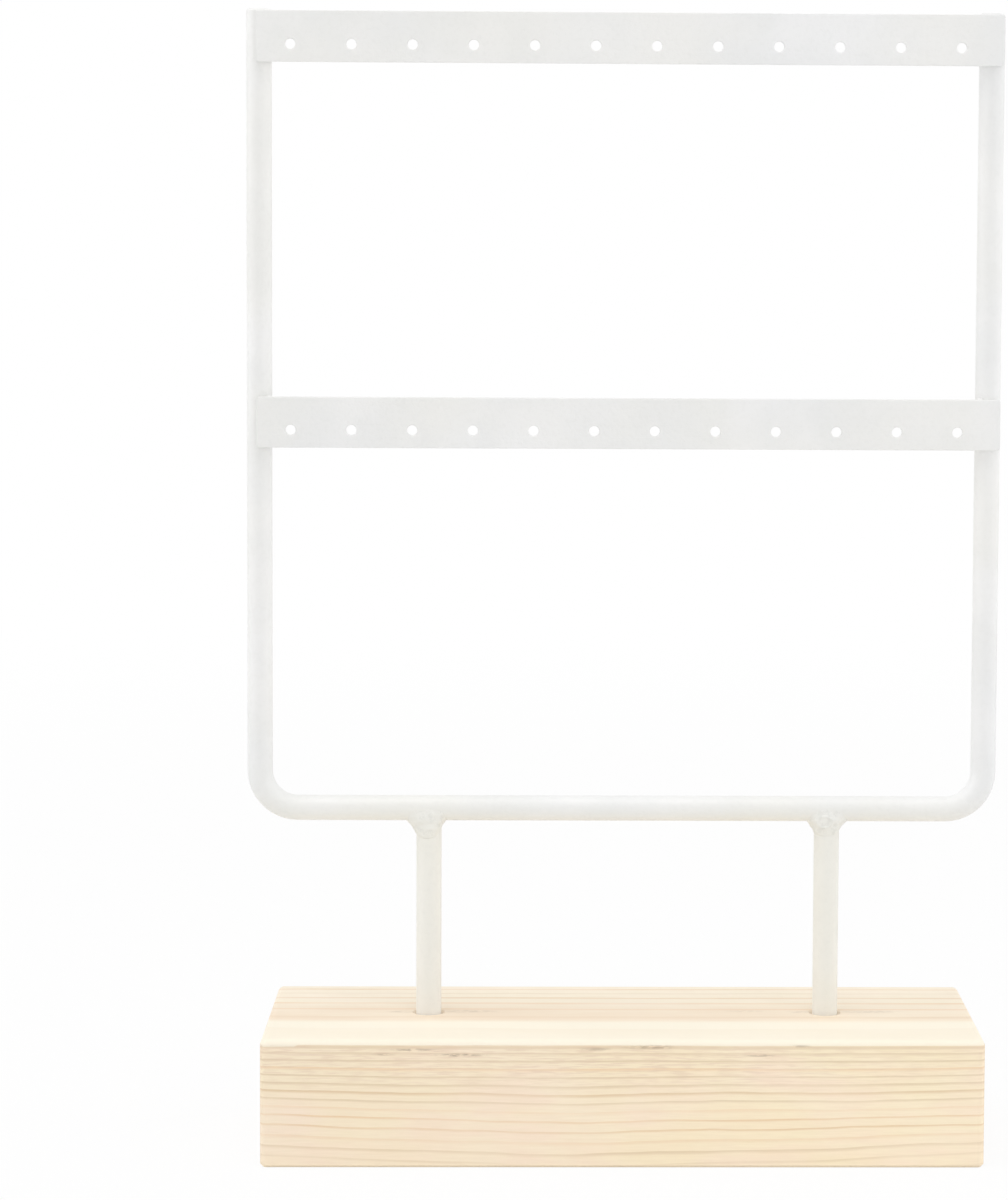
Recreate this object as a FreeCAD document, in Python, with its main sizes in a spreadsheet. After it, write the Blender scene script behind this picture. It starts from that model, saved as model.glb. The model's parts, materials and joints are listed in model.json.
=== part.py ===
"""Earring display stand: a wooden block that carries a welded metal frame with two drilled bars.

Millimetres. +X runs along the bars, -Y is the front, +Z is up. The origin is under the middle
of the block, on the surface that the stand rests on.
"""
import FreeCAD
import Part

import math
import os

import Sketcher

# Driving sizes: name, value, and what it measures.
DRIVING_SIZES = (
    ("base_width", 140.0, "wooden block, left to right"),
    ("base_depth", 50.0, "wooden block, front to back"),
    ("base_height", 25.0, "wooden block, bottom to top"),
    ("base_round", 1.2, "sanded radius of the block's top and upright edges"),
    ("base_foot_ease", 0.6, "chamfer along the block's bottom edges"),
    ("socket_depth", 18.0, "blind hole under each post"),
    ("socket_play", 0.1, "gap between a post and the wall of its hole"),
    ("socket_mouth", 0.6, "countersink at the mouth of each hole"),
    ("post_dia", 5.0, "round bar of the two posts"),
    ("post_spacing", 79.0, "between the posts' axes"),
    ("post_shift", 1.2, "middle of the two posts, right of the block's middle"),
    ("post_foot_ease", 0.3, "chamfer at the foot of each post"),
    ("cope_drop", 1.0, "lips of a post's saddle, below the axis of the frame's lower run"),
    ("rod_dia", 5.0, "round bar of the frame"),
    ("rod_spacing", 143.5, "between the axes of the frame's two uprights"),
    ("bend_radius", 7.5, "frame's corners, at the axis of the bar"),
    ("run_level", 66.1, "axis of the frame's lower run, above the surface"),
    ("rod_end_rise", 0.4, "ends of the uprights, above the top bar"),
    ("rod_end_ease", 0.4, "chamfer at the ends of the uprights"),
    ("bar_overlap", 1.25, "flat bars' ends, past the uprights' axes, before the bars' shift"),
    ("bar_height", 10.0, "flat bars, edge to edge"),
    ("bar_thickness", 1.2, "flat bars, front to back"),
    ("bar_shift", 0.9, "middle of the bars, right of the frame's middle"),
    ("bar_corner", 0.5, "corners of the bars' ends"),
    ("bar_ease", 0.15, "chamfer round the bars' faces"),
    ("top_bar_level", 213.0, "lower edge of the top bar"),
    ("middle_bar_level", 137.8, "lower edge of the middle bar"),
    ("stud_hole_dia", 2.0, "holes for the studs"),
    ("stud_hole_pitch", 11.9, "from one stud hole to the next"),
    ("stud_hole_margin", 3.2, "least room from an end hole's centre to the upright beside it"),
    ("stud_hole_rise", 3.5, "stud holes, above the bar's lower edge"),
    ("bead_radius", 1.05, "round of a weld bead behind a bar"),
    ("bead_stand", 0.5, "centre of that round, behind the bar"),
    ("bead_offset", 1.9, "centre of that round, inwards from the upright's axis"),
    ("bead_start", 0.8, "lower end of a bead, above the bar's lower edge"),
    ("bead_rise", 0.3, "upper end of a bead, above the bar's upper edge"),
    ("bead_end_taper", 0.55, "taper of a bead's ends"),
    ("collar_drop", 2.7, "post weld's foot, below the lower run"),
    ("collar_lip", 0.05, "thickness of the post weld at its foot"),
    ("collar_waist", 1.2, "post weld's widest ring, below the axis of the lower run"),
    ("collar_reach", 2.1, "post weld's widest ring, out from the post's side"),
    ("collar_skirt", 0.6, "post weld's widest ring, out from the post's front and back"),
    ("collar_rise", 1.3, "post weld's crown, above the axis of the lower run"),
    ("crown_inset", 0.3, "post weld's crown, inside the surface of the lower run"),
)

doc = FreeCAD.newDocument("EarringStand")

sheet = doc.addObject("Spreadsheet::Sheet", "sizes")
for row, (alias, millimetres, meaning) in enumerate(DRIVING_SIZES, start=1):
    sheet.set(f"A{row}", alias)
    sheet.set(f"B{row}", str(millimetres))
    sheet.set(f"C{row}", meaning)
    sheet.setAlias(f"B{row}", alias)
doc.recompute()


def value(expression):
    """The number that an expression on the sheet comes to."""
    return float(sheet.evalExpression(expression))


# Sizes that several pieces share, as expressions on the sheet.
SOCKET_FLOOR = "(sizes.base_height - sizes.socket_depth)"
SOCKET_DIA = "(sizes.post_dia + 2 * sizes.socket_play)"
LIP_LEVEL = "(sizes.run_level - sizes.cope_drop)"
POST_LENGTH = f"({LIP_LEVEL} - {SOCKET_FLOOR})"
UPRIGHT_TOP = "(sizes.top_bar_level + sizes.bar_height + sizes.rod_end_rise)"
UPRIGHT_INSIDE = "(sizes.rod_spacing - sizes.rod_dia)"
BAR_BACK = "(sizes.rod_dia / 2)"
BAR_FRONT = f"({BAR_BACK} + sizes.bar_thickness)"
BAR_LENGTH = "(sizes.rod_spacing + 2 * sizes.bar_overlap)"
HOLE_STEPS = f"floor(({UPRIGHT_INSIDE} - 2 * sizes.stud_hole_margin) / sizes.stud_hole_pitch)"
HOLE_ROW = f"({HOLE_STEPS} * sizes.stud_hole_pitch)"
BEAD_LENGTH = "(sizes.bar_height + sizes.bead_rise - sizes.bead_start)"
POST_PLACES = {
    "left": "sizes.post_shift - sizes.post_spacing / 2",
    "right": "sizes.post_shift + sizes.post_spacing / 2",
}
BAR_LEVELS = {
    "top": "sizes.top_bar_level",
    "middle": "sizes.middle_bar_level",
}
# Lengths under this count as nothing when edges are told apart.
FLAT = 1e-4

parts = []


def new_body(name):
    """A body for one piece, kept in the list of pieces."""
    body = doc.addObject("PartDesign::Body", name)
    body.Label = name
    parts.append(body)
    return body


def new_sketch(body, name, role, offset=None):
    """A sketch on one of the body's origin planes, moved along the plane's normal by offset."""
    sketch = body.newObject("Sketcher::SketchObject", name)
    plane = next(item for item in body.Origin.OriginFeatures if item.Role == role)
    sketch.AttachmentSupport = [(plane, "")]
    sketch.MapMode = "FlatFace"
    if offset is not None:
        sketch.setExpression("AttachmentOffset.Base.z", offset)
    return sketch


def bind(sketch, name, expression, kind, *places):
    """Adds a named dimension whose value comes from the sheet."""
    index = sketch.addConstraint(Sketcher.Constraint(kind, *places, value(expression)))
    sketch.renameConstraint(index, name)
    sketch.setExpression(f"Constraints.{name}", expression)


def add_circle(sketch, name, diameter, across=None, up=None):
    """A circle, with its diameter and the place of its centre along the sketch's two axes."""
    centre = FreeCAD.Vector(value(across) if across else 0, value(up) if up else 0, 0)
    axis = FreeCAD.Vector(0, 0, 1)
    circle = sketch.addGeometry(Part.Circle(centre, axis, value(diameter) / 2), False)
    bind(sketch, f"{name}_diameter", diameter, "Diameter", circle)
    if across:
        bind(sketch, f"{name}_across", across, "DistanceX", -1, 1, circle, 3)
    else:
        sketch.addConstraint(Sketcher.Constraint("PointOnObject", circle, 3, -2))
    if up:
        bind(sketch, f"{name}_up", up, "DistanceY", -1, 1, circle, 3)
    else:
        sketch.addConstraint(Sketcher.Constraint("PointOnObject", circle, 3, -1))


def add_rectangle(sketch, left, bottom, width, height):
    """A rectangle: its left and lower edges from the sketch's axes, its width and its height."""
    low_x, low_y = value(left), value(bottom)
    high_x, high_y = low_x + value(width), low_y + value(height)
    corners = ((low_x, low_y), (high_x, low_y), (high_x, high_y), (low_x, high_y))
    points = [FreeCAD.Vector(x, y, 0) for x, y in corners]
    lines = []
    for start, end in zip(points, points[1:] + points[:1]):
        lines.append(sketch.addGeometry(Part.LineSegment(start, end), False))
    for number, line in enumerate(lines):
        following = lines[(number + 1) % 4]
        sketch.addConstraint(Sketcher.Constraint("Coincident", line, 2, following, 1))
        direction = "Vertical" if number % 2 else "Horizontal"
        sketch.addConstraint(Sketcher.Constraint(direction, line))
    bind(sketch, "left", left, "DistanceX", -1, 1, lines[0], 1)
    bind(sketch, "width", width, "DistanceX", lines[0], 1, lines[0], 2)
    bind(sketch, "height", height, "DistanceY", lines[1], 1, lines[1], 2)
    if low_y:
        bind(sketch, "bottom", bottom, "DistanceY", -1, 1, lines[0], 1)
    else:
        sketch.addConstraint(Sketcher.Constraint("PointOnObject", lines[0], 1, -1))


def pad(body, sketch, length, name):
    """Extrudes a sketch along its normal."""
    feature = body.newObject("PartDesign::Pad", name)
    feature.Profile = sketch
    feature.setExpression("Length", length)
    doc.recompute()
    return feature


def cut_through(body, sketch, name, one_side=False):
    """Cuts a sketch through the whole solid: to both sides, or only along the plane's normal."""
    before = body.Shape.Volume
    feature = body.newObject("PartDesign::Pocket", name)
    feature.Profile = sketch
    feature.Type = "ThroughAll"
    feature.Midplane = not one_side
    feature.Reversed = one_side
    doc.recompute()
    if body.Shape.Volume > before - FLAT:
        raise RuntimeError(f"{name} in {body.Label} removes nothing")
    return feature


def edges_where(feature, test):
    """Names of the feature's edges that pass a test."""
    edges = enumerate(feature.Shape.Edges, start=1)
    return [f"Edge{number}" for number, edge in edges if test(edge)]


def dress(body, kind, feature, edges, expression, name):
    """Fillets or chamfers the named edges of a feature."""
    if not edges:
        raise RuntimeError(f"{name} in {body.Label} finds no edges")
    dressing = body.newObject(f"PartDesign::{kind}", name)
    dressing.Base = (feature, edges)
    dressing.setExpression("Radius" if kind == "Fillet" else "Size", expression)
    doc.recompute()
    return dressing


def lies_at_level(edge, level):
    """True for an edge that lies wholly at one height."""
    return abs(edge.BoundBox.ZMin - level) < FLAT and abs(edge.BoundBox.ZMax - level) < FLAT


def lies_in_depth(edge, depth):
    """True for an edge that lies wholly in one plane across Y."""
    return abs(edge.BoundBox.YMin - depth) < FLAT and abs(edge.BoundBox.YMax - depth) < FLAT


def is_upright(edge):
    """True for an edge that runs along Z."""
    box = edge.BoundBox
    return box.ZLength > FLAT and box.XLength < FLAT and box.YLength < FLAT


def make_base():
    """Solid wooden block with sanded edges and two blind, countersunk holes for the posts."""
    body = new_body("wood_base")
    outline = new_sketch(body, "base_outline", "XY_Plane")
    add_rectangle(
        outline, "-sizes.base_width / 2", "-sizes.base_depth / 2", "sizes.base_width", "sizes.base_depth"
    )
    block = pad(body, outline, "sizes.base_height", "base_block")
    height = value("sizes.base_height")

    def is_top_or_upright(edge):
        return is_upright(edge) or lies_at_level(edge, height)

    sanded_edges = edges_where(block, is_top_or_upright)
    sanded = dress(body, "Fillet", block, sanded_edges, "sizes.base_round", "sanded_edges")
    foot_edges = edges_where(sanded, lambda edge: lies_at_level(edge, 0.0))
    dress(body, "Chamfer", sanded, foot_edges, "sizes.base_foot_ease", "eased_foot")

    centres = new_sketch(body, "socket_centres", "XY_Plane", "sizes.base_height")
    for side, place in POST_PLACES.items():
        add_circle(centres, side, SOCKET_DIA, across=place)
    doc.recompute()
    before = body.Shape.Volume
    sockets = body.newObject("PartDesign::Hole", "post_sockets")
    sockets.Profile = centres
    doc.recompute()
    sockets.Threaded = False
    sockets.DepthType = "Dimension"
    sockets.DrillPoint = "Flat"
    sockets.HoleCutType = "Countersink"
    sockets.HoleCutCountersinkAngle = 90
    sockets.setExpression("Diameter", SOCKET_DIA)
    sockets.setExpression("Depth", "sizes.socket_depth")
    sockets.setExpression("HoleCutDiameter", f"{SOCKET_DIA} + 2 * sizes.socket_mouth")
    doc.recompute()
    bores = 2 * math.pi * value(SOCKET_DIA) ** 2 / 4 * value("sizes.socket_depth")
    if before - body.Shape.Volume < bores:
        raise RuntimeError("the post sockets are not cut to their depth")


def add_rod_line(line):
    """The line that the bent bar follows: left upright, bend, lower run, bend, right upright."""
    half = value("sizes.rod_spacing") / 2
    top = value(UPRIGHT_TOP)
    run = value("sizes.run_level")
    bend = value("sizes.bend_radius")

    def straight(start_x, start_y, end_x, end_y):
        start = FreeCAD.Vector(start_x, start_y, 0)
        end = FreeCAD.Vector(end_x, end_y, 0)
        return line.addGeometry(Part.LineSegment(start, end), False)

    def quarter(centre_x, start_angle):
        centre = FreeCAD.Vector(centre_x, run + bend, 0)
        whole = Part.Circle(centre, FreeCAD.Vector(0, 0, 1), bend)
        return line.addGeometry(Part.ArcOfCircle(whole, start_angle, start_angle + math.pi / 2), False)

    stretches = [
        straight(-half, top, -half, run + bend),
        quarter(-half + bend, math.pi),
        straight(-half + bend, run, half - bend, run),
        quarter(half - bend, 1.5 * math.pi),
        straight(half, run + bend, half, top),
    ]
    for earlier, later in zip(stretches, stretches[1:]):
        line.addConstraint(Sketcher.Constraint("Tangent", earlier, 2, later, 1))
    left, left_bend, lower_run, right_bend, right = stretches
    line.addConstraint(Sketcher.Constraint("Vertical", left))
    line.addConstraint(Sketcher.Constraint("Vertical", right))
    line.addConstraint(Sketcher.Constraint("Horizontal", lower_run))
    line.addConstraint(Sketcher.Constraint("Symmetric", left, 1, right, 2, -2))
    line.addConstraint(Sketcher.Constraint("Equal", left_bend, right_bend))
    bind(line, "bend", "sizes.bend_radius", "Radius", left_bend)
    bind(line, "spacing", "sizes.rod_spacing", "DistanceX", left, 1, right, 2)
    bind(line, "run", "sizes.run_level", "DistanceY", -1, 1, lower_run, 1)
    bind(line, "end", UPRIGHT_TOP, "DistanceY", -1, 1, left, 1)


def make_frame_rod():
    """One round bar bent into a U: two uprights and the lower run between them."""
    body = new_body("frame_rod")
    line = new_sketch(body, "rod_line", "XZ_Plane")
    add_rod_line(line)
    section = new_sketch(body, "rod_section", "XY_Plane", UPRIGHT_TOP)
    add_circle(section, "rod", "sizes.rod_dia", across="-sizes.rod_spacing / 2")
    doc.recompute()
    bar = body.newObject("PartDesign::AdditivePipe", "bent_bar")
    bar.Profile = section
    bar.Spine = line
    doc.recompute()
    expected = line.Shape.Length * math.pi * value("sizes.rod_dia") ** 2 / 4
    if abs(body.Shape.Volume - expected) > 0.001 * expected:
        raise RuntimeError("the bent bar does not follow its whole line")

    end_level = value(UPRIGHT_TOP)
    ends = edges_where(bar, lambda edge: lies_at_level(edge, end_level))
    dress(body, "Chamfer", bar, ends, "sizes.rod_end_ease", "eased_ends")


def make_post(side):
    """Round post: its foot stands on the floor of a socket, its head is a saddle for the lower run."""
    body = new_body(f"post_{side}")
    section = new_sketch(body, f"post_section_{side}", "XY_Plane", SOCKET_FLOOR)
    add_circle(section, "post", "sizes.post_dia")
    shaft = pad(body, section, POST_LENGTH, f"post_shaft_{side}")
    floor_level = value(SOCKET_FLOOR)
    foot = edges_where(shaft, lambda edge: lies_at_level(edge, floor_level))
    dress(body, "Chamfer", shaft, foot, "sizes.post_foot_ease", f"post_foot_{side}")
    saddle = new_sketch(body, f"saddle_{side}", "YZ_Plane")
    add_circle(saddle, "run", "sizes.rod_dia", up="sizes.run_level")
    doc.recompute()
    cut_through(body, saddle, f"post_saddle_{side}")
    body.setExpression("Placement.Base.x", POST_PLACES[side])


def make_bar(name):
    """Flat bar across the fronts of the uprights, with a row of stud holes."""
    body = new_body(f"{name}_bar")
    outline = new_sketch(body, f"{name}_bar_outline", "XZ_Plane", BAR_BACK)
    add_rectangle(outline, f"sizes.bar_shift - {BAR_LENGTH} / 2", "0", BAR_LENGTH, "sizes.bar_height")
    strip = pad(body, outline, "sizes.bar_thickness", f"{name}_bar_strip")

    def is_corner(edge):
        return edge.BoundBox.YLength > FLAT

    def is_rim(edge):
        return lies_in_depth(edge, -value(BAR_BACK)) or lies_in_depth(edge, -value(BAR_FRONT))

    corner_edges = edges_where(strip, is_corner)
    corners = dress(body, "Fillet", strip, corner_edges, "sizes.bar_corner", f"{name}_bar_corners")
    rim_edges = edges_where(corners, is_rim)
    dress(body, "Chamfer", corners, rim_edges, "sizes.bar_ease", f"{name}_bar_rims")

    first_hole = new_sketch(body, f"{name}_bar_hole", "XZ_Plane", BAR_BACK)
    add_circle(
        first_hole, "stud", "sizes.stud_hole_dia", across=f"-{HOLE_ROW} / 2", up="sizes.stud_hole_rise"
    )
    doc.recompute()
    whole = body.Shape.Volume
    hole = cut_through(body, first_hole, f"{name}_bar_first_hole")
    row = body.newObject("PartDesign::LinearPattern", f"{name}_bar_hole_row")
    row.Originals = [hole]
    row.Direction = (first_hole, ["H_Axis"])
    row.setExpression("Length", HOLE_ROW)
    row.setExpression("Occurrences", f"{HOLE_STEPS} + 1")
    body.Tip = row
    doc.recompute()
    one_hole = math.pi * value("sizes.stud_hole_dia") ** 2 / 4 * value("sizes.bar_thickness")
    if abs(whole - body.Shape.Volume - row.Occurrences * one_hole) > 0.01:
        raise RuntimeError(f"the row of stud holes in {body.Label} is not complete")
    body.setExpression("Placement.Base.z", BAR_LEVELS[name])


def make_bar_weld(name, side):
    """Weld bead in the groove between an upright and the back of a bar, on the frame's inner side."""
    tag = f"{name}_{side}"
    body = new_body(f"{name}_bar_weld_{side}")
    inwards = "" if side == "left" else "-"
    section = new_sketch(body, f"bead_section_{tag}", "XY_Plane", "sizes.bead_start")
    add_circle(
        section, "bead", "2 * sizes.bead_radius",
        across=f"{inwards}sizes.bead_offset", up=f"sizes.bead_stand - {BAR_BACK}",
    )
    ridge = pad(body, section, BEAD_LENGTH, f"bead_ridge_{tag}")
    ends = edges_where(ridge, lambda edge: edge.BoundBox.ZLength < FLAT)
    dress(body, "Chamfer", ridge, ends, "sizes.bead_end_taper", f"bead_ends_{tag}")

    bar_side = new_sketch(body, f"bead_back_{tag}", "XZ_Plane", BAR_BACK)
    reach = "(sizes.bead_offset + 2 * sizes.bead_radius)"
    add_rectangle(bar_side, f"-{reach}", "0", f"2 * {reach}", f"2 * {BEAD_LENGTH}")
    doc.recompute()
    cut_through(body, bar_side, f"bead_bar_face_{tag}", one_side=True)
    groove = new_sketch(body, f"bead_groove_{tag}", "XY_Plane")
    add_circle(groove, "rod", "sizes.rod_dia")
    doc.recompute()
    cut_through(body, groove, f"bead_seat_{tag}")
    outwards = "-" if side == "left" else ""
    body.setExpression("Placement.Base.x", f"{outwards}sizes.rod_spacing / 2")
    body.setExpression("Placement.Base.z", BAR_LEVELS[name])


def make_post_weld(side):
    """Weld collar round the joint of a post and the lower run, fitted to both round bars."""
    post_radius = "sizes.post_dia / 2"
    run_radius = "sizes.rod_dia / 2"
    waist_radius = f"({post_radius} + sizes.collar_reach)"
    foot_level = f"(sizes.run_level - {run_radius} - sizes.collar_drop)"
    waist_level = "(sizes.run_level - sizes.collar_waist)"
    crown_level = "(sizes.run_level + sizes.collar_rise)"
    # Lower and upper radius, and lower and upper level, of the two cones that meet at the waist.
    cone_sizes = {
        "skirt": (f"{post_radius} + sizes.collar_lip", waist_radius, foot_level, waist_level),
        "crown": (waist_radius, f"{run_radius} - sizes.crown_inset", waist_level, crown_level),
    }
    cones = []
    for cone_name, (lower_radius, upper_radius, lower_level, upper_level) in cone_sizes.items():
        cone = doc.addObject("Part::Cone", f"{cone_name}_{side}")
        cone.setExpression("Radius1", lower_radius)
        cone.setExpression("Radius2", upper_radius)
        cone.setExpression("Height", f"{upper_level} - {lower_level}")
        cone.setExpression("Placement.Base.z", lower_level)
        cones.append(cone)
    round_collar = doc.addObject("Part::MultiFuse", f"round_collar_{side}")
    round_collar.Shapes = cones

    # Seen from above, the collar is an oval: wide along the run, thin at its front and back.
    half_depth = f"{post_radius} + sizes.collar_skirt"
    oval = doc.addObject("Part::Ellipse", f"oval_{side}")
    oval.setExpression("MajorRadius", f"max({waist_radius}; {half_depth})")
    oval.setExpression("MinorRadius", half_depth)
    oval.setExpression("Placement.Base.z", foot_level)
    oval_block = doc.addObject("Part::Extrusion", f"oval_block_{side}")
    oval_block.Base = oval
    oval_block.Dir = FreeCAD.Vector(0, 0, 1)
    oval_block.DirMode = "Custom"
    oval_block.Solid = True
    oval_block.setExpression("LengthFwd", f"{crown_level} - {foot_level}")
    collar = doc.addObject("Part::MultiCommon", f"collar_{side}")
    collar.Shapes = [round_collar, oval_block]

    run_length = "4 * (sizes.post_dia + sizes.collar_reach)"
    run = doc.addObject("Part::Cylinder", f"run_in_weld_{side}")
    run.Placement.Rotation = FreeCAD.Rotation(FreeCAD.Vector(0, 1, 0), 90)
    run.setExpression("Radius", run_radius)
    run.setExpression("Height", run_length)
    run.setExpression("Placement.Base.x", f"-({run_length}) / 2")
    run.setExpression("Placement.Base.z", "sizes.run_level")

    post = doc.addObject("Part::Cylinder", f"post_in_weld_{side}")
    post.setExpression("Radius", post_radius)
    post.setExpression("Height", POST_LENGTH)
    post.setExpression("Placement.Base.z", SOCKET_FLOOR)

    off_run = doc.addObject("Part::Cut", f"collar_off_run_{side}")
    off_run.Base = collar
    off_run.Tool = run
    weld = doc.addObject("Part::Cut", f"post_weld_{side}")
    weld.Label = f"post_weld_{side}"
    weld.Base = off_run
    weld.Tool = post
    weld.setExpression("Placement.Base.x", POST_PLACES[side])
    parts.append(weld)


make_base()
make_frame_rod()
for post_side in POST_PLACES:
    make_post(post_side)
    make_post_weld(post_side)
for bar_name in BAR_LEVELS:
    make_bar(bar_name)
    for upright_side in ("left", "right"):
        make_bar_weld(bar_name, upright_side)
doc.recompute()

for item in doc.Objects:
    if "Invalid" in item.State or "Error" in item.State:
        raise RuntimeError(f"{item.Label} is in state {item.State}")
    if item.isDerivedFrom("Sketcher::SketchObject") and not item.FullyConstrained:
        raise RuntimeError(f"{item.Label} is not fully constrained")
for item in parts:
    if item.Shape.isNull() or not item.Shape.isValid():
        raise RuntimeError(f"{item.Label} has no valid shape")
    if len(item.Shape.Solids) != 1:
        raise RuntimeError(f"{item.Label} is {len(item.Shape.Solids)} solids, not one")

os.makedirs("parts", exist_ok=True)
for item in parts:
    item.Shape.exportStep(f"parts/{item.Label}.step")
    box = item.Shape.BoundBox
    print(
        f"{item.Label:24s} {item.Shape.Volume:10.1f} mm3"
        f"  X {box.XMin:7.2f} {box.XMax:7.2f}  Y {box.YMin:6.2f} {box.YMax:6.2f}"
        f"  Z {box.ZMin:6.2f} {box.ZMax:6.2f}"
    )
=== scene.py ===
# %% [markdown]
# An earring display stand
#
# The stand is a block of pale sanded pine that carries a frame of white powder-coated steel: one
# round bar bent into a U, two short posts under it, and two drilled flat bars welded across its
# front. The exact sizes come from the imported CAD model, which is loaded first and never moved.
# Here it gets what a CAD model lacks: wood that is figured right through, a coat of paint that
# softens every edge, and weld beads that look laid by hand.

import json
import math

import bmesh
import bpy
from mathutils import Matrix, Vector, noise


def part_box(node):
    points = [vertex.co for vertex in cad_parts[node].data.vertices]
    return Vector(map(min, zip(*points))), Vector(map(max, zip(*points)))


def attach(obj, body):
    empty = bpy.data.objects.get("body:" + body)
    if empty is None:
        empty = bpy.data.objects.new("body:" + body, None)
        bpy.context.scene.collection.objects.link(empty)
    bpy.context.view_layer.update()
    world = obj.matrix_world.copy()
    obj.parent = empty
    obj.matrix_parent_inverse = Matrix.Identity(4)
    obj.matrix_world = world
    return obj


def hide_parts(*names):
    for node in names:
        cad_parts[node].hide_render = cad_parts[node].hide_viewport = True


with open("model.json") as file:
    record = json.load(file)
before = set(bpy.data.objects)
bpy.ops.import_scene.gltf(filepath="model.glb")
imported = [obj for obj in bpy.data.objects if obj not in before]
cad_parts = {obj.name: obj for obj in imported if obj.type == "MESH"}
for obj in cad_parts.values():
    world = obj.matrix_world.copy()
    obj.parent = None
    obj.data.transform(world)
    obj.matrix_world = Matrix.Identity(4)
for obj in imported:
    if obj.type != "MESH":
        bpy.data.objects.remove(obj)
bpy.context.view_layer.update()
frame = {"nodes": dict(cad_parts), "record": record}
nodes = frame["nodes"]
MM = 0.001
print("nodes:", ", ".join(sorted(nodes)))

# %% [markdown]
# The camera
#
# The photograph was taken from straight in front with a long lens, a little above the block, and
# was cropped off-centre. Turning the camera until the object sits where it should would make the
# uprights run together. A lens shift gives the same crop while they stay parallel. The picture is
# 1008 by 1200, so its long side is the height, and that is what the sensor width fits.

# %% Camera
CAMERA_PLACE = Vector((-14.4, -721.5, 184.9)) * MM
CAMERA_TURN = math.radians(1.145)
CAMERA_TILT = math.radians(-4.235)
CAMERA_ROLL = math.radians(0.325)
SENSOR_WIDTH = 36.0
FOCAL_LENGTH_PIXELS = 3666.0
PICTURE_LONG_SIDE = 1200.0
# Shifts are shares of the picture's long side.
SHIFT_ACROSS = -0.1
SHIFT_UP = -0.1

camera_data = bpy.data.cameras.new("camera")
camera_data.sensor_width = SENSOR_WIDTH
camera_data.lens = FOCAL_LENGTH_PIXELS / PICTURE_LONG_SIDE * SENSOR_WIDTH
camera_data.shift_x = SHIFT_ACROSS
camera_data.shift_y = SHIFT_UP
camera = bpy.data.objects.new("camera", camera_data)
turn = Matrix.Rotation(-CAMERA_TURN, 4, "Z")
tilt = Matrix.Rotation(math.pi / 2 + CAMERA_TILT, 4, "X")
roll = Matrix.Rotation(CAMERA_ROLL, 4, "Z")
camera.matrix_world = Matrix.Translation(CAMERA_PLACE) @ turn @ tilt @ roll
bpy.context.scene.collection.objects.link(camera)
bpy.context.scene.camera = camera
print(f"lens {camera_data.lens:.1f} mm")

# %% [markdown]
# Small helpers for shader nodes
#
# A procedural material is arithmetic on places, and drawn as nodes it soon fills the screen.
# These helpers keep each formula on a line or two instead: a number is typed into the socket, and
# another node's output is linked to it.


# %% Colours and links
def srgb(red, green, blue):
    """A colour as a picture editor shows it, 0 to 255, turned into the linear values of a shader."""
    channels = []
    for channel in (red, green, blue):
        share = channel / 255
        channels.append(share / 12.92 if share <= 0.04045 else ((share + 0.055) / 1.055) ** 2.4)
    return (*channels, 1.0)


def feed(tree, socket, value):
    """Links an output to the socket, or types a number into it."""
    if isinstance(value, bpy.types.NodeSocket):
        tree.links.new(value, socket)
    else:
        socket.default_value = value


print("a grey of 188 is", round(srgb(188, 188, 188)[0], 2), "in linear light")


# %% Arithmetic
def calc(tree, operation, *values):
    """One arithmetic step."""
    node = tree.nodes.new("ShaderNodeMath")
    node.operation = operation
    for socket, value in zip(node.inputs, values):
        feed(tree, socket, value)
    return node.outputs["Value"]


def chained(tree, operation, *values):
    """One step over several values, from left to right: their sum, or the largest of them."""
    result = values[0]
    for value in values[1:]:
        result = calc(tree, operation, result, value)
    return result


def product(tree, *values):
    """Several values multiplied together."""
    return chained(tree, "MULTIPLY", *values)


def fade(tree, value, start, end):
    """0 at start and 1 at end, with a soft passage between."""
    node = tree.nodes.new("ShaderNodeMapRange")
    node.interpolation_type = "SMOOTHSTEP"
    feed(tree, node.inputs["Value"], value)
    feed(tree, node.inputs["From Min"], start)
    feed(tree, node.inputs["From Max"], end)
    return node.outputs["Result"]


def spread(tree, value, low, high):
    """A value from 0 to 1 turned into one from low to high."""
    return calc(tree, "MULTIPLY_ADD", value, high - low, low)


# %% Places, noise and mixed colours
def scaled(tree, vector, factors):
    """A place with each of its coordinates multiplied by its own factor."""
    node = tree.nodes.new("ShaderNodeVectorMath")
    node.operation = "MULTIPLY"
    feed(tree, node.inputs[0], vector)
    node.inputs[1].default_value = factors
    return node.outputs["Vector"]


def millimetres(tree):
    """The place on the object, in millimetres of the CAD frame."""
    place = tree.nodes.new("ShaderNodeTexCoord").outputs["Object"]
    return scaled(tree, place, (1 / MM, 1 / MM, 1 / MM))


def coordinates(tree, place):
    """A place taken apart: across, depth and level."""
    node = tree.nodes.new("ShaderNodeSeparateXYZ")
    feed(tree, node.inputs[0], place)
    return tuple(node.outputs)


def clouds(tree, vector, scale, detail):
    """Soft noise, mostly between 0.3 and 0.7."""
    node = tree.nodes.new("ShaderNodeTexNoise")
    feed(tree, node.inputs["Vector"], vector)
    feed(tree, node.inputs["Scale"], scale)
    node.inputs["Detail"].default_value = detail
    return node.outputs["Fac"]


def tinted(tree, colour, tint, *shares):
    """A colour mixed towards a tint, by all the shares multiplied together."""
    node = tree.nodes.new("ShaderNodeMix")
    node.data_type = "RGBA"
    # The node holds a set of sockets for each kind of value. These are its colour sockets.
    feed(tree, node.inputs[0], product(tree, *shares))
    feed(tree, node.inputs[6], colour)
    feed(tree, node.inputs[7], tint)
    return node.outputs[2]


# %% Materials
def new_material(name):
    """An empty material with its tree and its Principled shader."""
    material = bpy.data.materials.new(name)
    material.use_nodes = True
    tree = material.node_tree
    return material, tree, tree.nodes["Principled BSDF"]


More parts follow.
